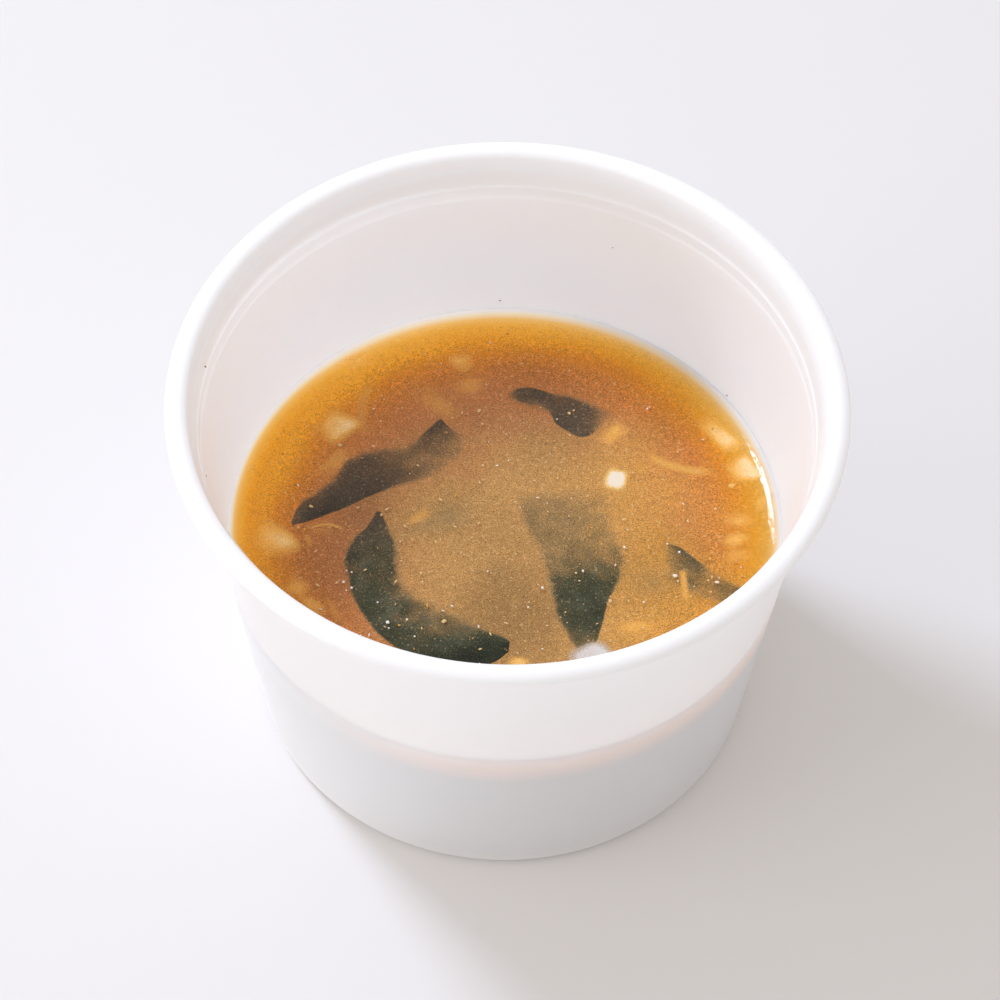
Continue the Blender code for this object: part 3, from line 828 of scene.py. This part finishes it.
def make_cup():
    bead_centre = (RIM_RADIUS - BEAD_HALF_WIDTH, BEAD_HEIGHT)
    bead = (BEAD_HALF_WIDTH, BEAD_HALF_HEIGHT)
    outer = inner_radius(BASE_ROUNDING) + WALL
    foot = (outer - BASE_ROUNDING, BASE_ROUNDING)
    corner_height = FLOOR + FLOOR_FILLET
    fillet = (inner_radius(corner_height) - FLOOR_FILLET, corner_height)
    profile = [(0.0, FOOT_RECESS), (FOOT_RADIUS - 3 * FOOT_STEP, FOOT_RECESS),
               (FOOT_RADIUS, FOOT_RECESS - FOOT_STEP), (FOOT_RADIUS + 5 * FOOT_STEP, FOOT_STEP),
               (FOOT_RADIUS + FOOT_RECESS, 0.0)]
    profile += arc(foot, (BASE_ROUNDING, BASE_ROUNDING), -90.0, -5.0, 8)
    for share in (0.1, 0.25, 0.5, 0.75, 0.95):
        height = BASE_ROUNDING + (BEAD_HEIGHT - STRAIGHT_TOP - BASE_ROUNDING) * share
        profile.append((inner_radius(height) + WALL, height))
    under = BEAD_HEIGHT - UNDER_BEAD
    profile.append((inner_radius(under) + WALL, under))
    profile += arc(bead_centre, bead, -130.0, 175.0, 28)
    lip = inner_radius(LIP_HEIGHT * MM)
    for outward, height in INNER_STEPS:
        leaning = WALL_SLOPE * (height - LIP_HEIGHT) * MM * 0.5
        profile.append((lip + outward * MM + leaning, height * MM))
    for height in (60, 50, 40, 30, 20, 10, 6):
        profile.append((inner_radius(height * MM), height * MM))
    profile += arc(fillet, (FLOOR_FILLET, FLOOR_FILLET), 0.0, -90.0, 8)
    profile += [(20 * MM, FLOOR), (0.0, FLOOR)]
    return finished("cup_shell", turn(profile), cup_finish(), ("cup",))


def meniscus(from_wall):
    return MENISCUS_RISE * math.exp(-from_wall / MENISCUS_WIDTH)


def smooth_share(value):
    share = min(max(value, 0.0), 1.0)
    return share * share * (3 - 2 * share)


def make_core():
    """The murky body of the broth, dished under its clear surface."""
    profile = [(0.0, FLOOR - 0.1 * MM), (inner_radius(4 * MM) - 1.5 * MM, FLOOR - 0.1 * MM)]
    for height in (4, 10, 20, 30):
        profile.append((inner_radius(height * MM) + CORE_INTO_WALL, height * MM))
    top = LEVEL + meniscus(0.0)
    profile.append((inner_radius(top) + CORE_INTO_WALL, top))
    for index in range(CORE_STEPS + 1):
        share = (index / CORE_STEPS) ** CORE_CROWDING
        from_wall = BROTH_RADIUS * share
        height = LEVEL + meniscus(from_wall) - murk_drop(from_wall)
        radius = max(inner_radius(height) - from_wall, 0.0) if index < CORE_STEPS else 0.0
        profile.append((radius, height))
    return finished("broth_core", turn(profile), core_finish(), ("broth",))


def make_surface():
    """The thin clear film on top, drawn up at the wall."""
    profile = []
    for index in range(FILM_STEPS + 1):
        share = 1 - index / FILM_STEPS
        from_wall = BROTH_RADIUS * share ** FILM_CROWDING
        height = LEVEL + meniscus(from_wall) + FILM_LIFT
        radius = inner_radius(height) + FILM_INTO_WALL - from_wall if index else 0.0
        profile.append((max(radius, 0.0), height))
    bm = turn(profile)
    for face in bm.faces:
        face.normal_update()
    if sum(face.normal.z for face in bm.faces) < 0:
        bmesh.ops.reverse_faces(bm, faces=bm.faces)
    return shadowless(finished("broth_surface", bm, surface_finish()))


def make_stage():
    bm = bmesh.new()
    bmesh.ops.create_grid(bm, x_segments=1, y_segments=1, size=FLOOR_SIZE)
    mesh = bpy.data.meshes.new("floor")
    bm.to_mesh(mesh)
    bm.free()
    floor = bpy.data.objects.new("floor", mesh)
    bpy.context.scene.collection.objects.link(floor)
    sheet = Sheet("floor")
    # Painted shade: the floor grows darker towards the back, as the light falls off.
    colour = sheet.mix(sheet.y.step(0.0, 500.0), srgb(230, 228, 227), srgb(217, 215, 211))
    shader = sheet.add("ShaderNodeBsdfDiffuse", values={"Color": colour})
    mesh.materials.append(sheet.surface(shader))


def add_softbox(name, turned, raised, away, size, energy, colour):
    """A square soft light at a turn and a rise in degrees, aimed at the cup."""
    lamp = bpy.data.lights.new(name, 'AREA')
    lamp.shape = 'SQUARE'
    lamp.size = size
    lamp.color = colour
    lamp.energy = energy
    softbox = bpy.data.objects.new(name, lamp)
    azimuth, rise = math.radians(turned), math.radians(raised)
    level = math.cos(rise)
    direction = Vector((level * math.cos(azimuth), level * math.sin(azimuth), math.sin(rise)))
    softbox.location = direction * away
    softbox.rotation_euler = direction.to_track_quat('Z', 'Y').to_euler()
    bpy.context.scene.collection.objects.link(softbox)


def make_light():
    world = bpy.data.worlds.new("studio")
    world.use_nodes = True
    nodes, links = world.node_tree.nodes, world.node_tree.links
    back = nodes["Background"]
    where = nodes.new("ShaderNodeTexCoord")
    side = nodes.new("ShaderNodeVectorMath")
    side.operation = 'DOT_PRODUCT'
    side.inputs[1].default_value = SIDE_FILL
    links.new(where.outputs["Generated"], side.inputs[0])
    total = nodes.new("ShaderNodeMath")
    total.inputs[1].default_value = FILL_STRENGTH
    links.new(side.outputs["Value"], total.inputs[0])
    links.new(total.outputs[0], back.inputs["Strength"])
    back.inputs["Color"].default_value = FILL_COLOUR
    bpy.context.scene.world = world
    add_softbox("key", KEY_AZIMUTH, KEY_RISE, KEY_AWAY, KEY_SIZE * KEY_AWAY,
                KEY_ENERGY * KEY_AWAY ** 2, KEY_COLOUR)
    add_softbox("bounce", BOUNCE_AZIMUTH, BOUNCE_RISE, BOUNCE_AWAY, BOUNCE_SIZE,
                BOUNCE_ENERGY, BOUNCE_COLOUR)


def make_camera():
    lens = bpy.data.cameras.new("camera")
    lens.lens = CAMERA_LENS
    lens.sensor_width = SENSOR_WIDTH
    lens.clip_start = NEAREST
    camera = bpy.data.objects.new("camera", lens)
    bpy.context.scene.collection.objects.link(camera)
    forward = Vector((0, math.cos(CAMERA_TILT), -math.sin(CAMERA_TILT)))
    right = Vector((1, 0, 0))
    up = right.cross(forward)
    turned_right = right * math.cos(CAMERA_ROLL) + up * math.sin(CAMERA_ROLL)
    turned_up = up * math.cos(CAMERA_ROLL) - right * math.sin(CAMERA_ROLL)
    camera.matrix_world = Matrix.Translation(CAMERA_PLACE) @ Matrix(
        (turned_right, turned_up, -forward)).transposed().to_4x4()
    bpy.context.scene.camera = camera


def main():
    make_cup()
    make_core()
    make_surface()
    wet_leaf = leaf_finish()
    for name, stations in LEAVES.items():
        leaf(name, stations, wet_leaf)
    chips("wakame_sunk", SUNK_LEAVES.values(), add_chip, faint_finish())
    white = chip_finish("tofu", srgb(238, 222, 198), srgb(242, 196, 112))
    cream = chip_finish("tofu in amber broth", srgb(248, 214, 158), srgb(244, 182, 86))
    grey = chip_finish("wet tofu", srgb(218, 209, 204), srgb(190, 176, 156))
    finishes = {"tofu_middle": white, "tofu_front": grey}
    for name, row in TOFU.items():
        chips(name + "_piece", [row], add_chip, finishes.get(name, cream), (name,))
    chips("tofu_sunk", TOFU_BITS.values(), add_chip, cream)
    fried = chip_finish("fried tofu", srgb(238, 196, 106), srgb(234, 168, 76))
    chips("fried_tofu", FRIED_BITS.values(), add_chip, fried)
    onion = chip_finish("spring onion", srgb(218, 168, 88), srgb(222, 158, 70))
    chips("onion_slices", ONION.values(), add_slice, onion)
    scatter()
    wall_specks()
    make_stage()
    make_light()
    make_camera()
    bpy.context.scene.view_settings.view_transform = 'Standard'


main()
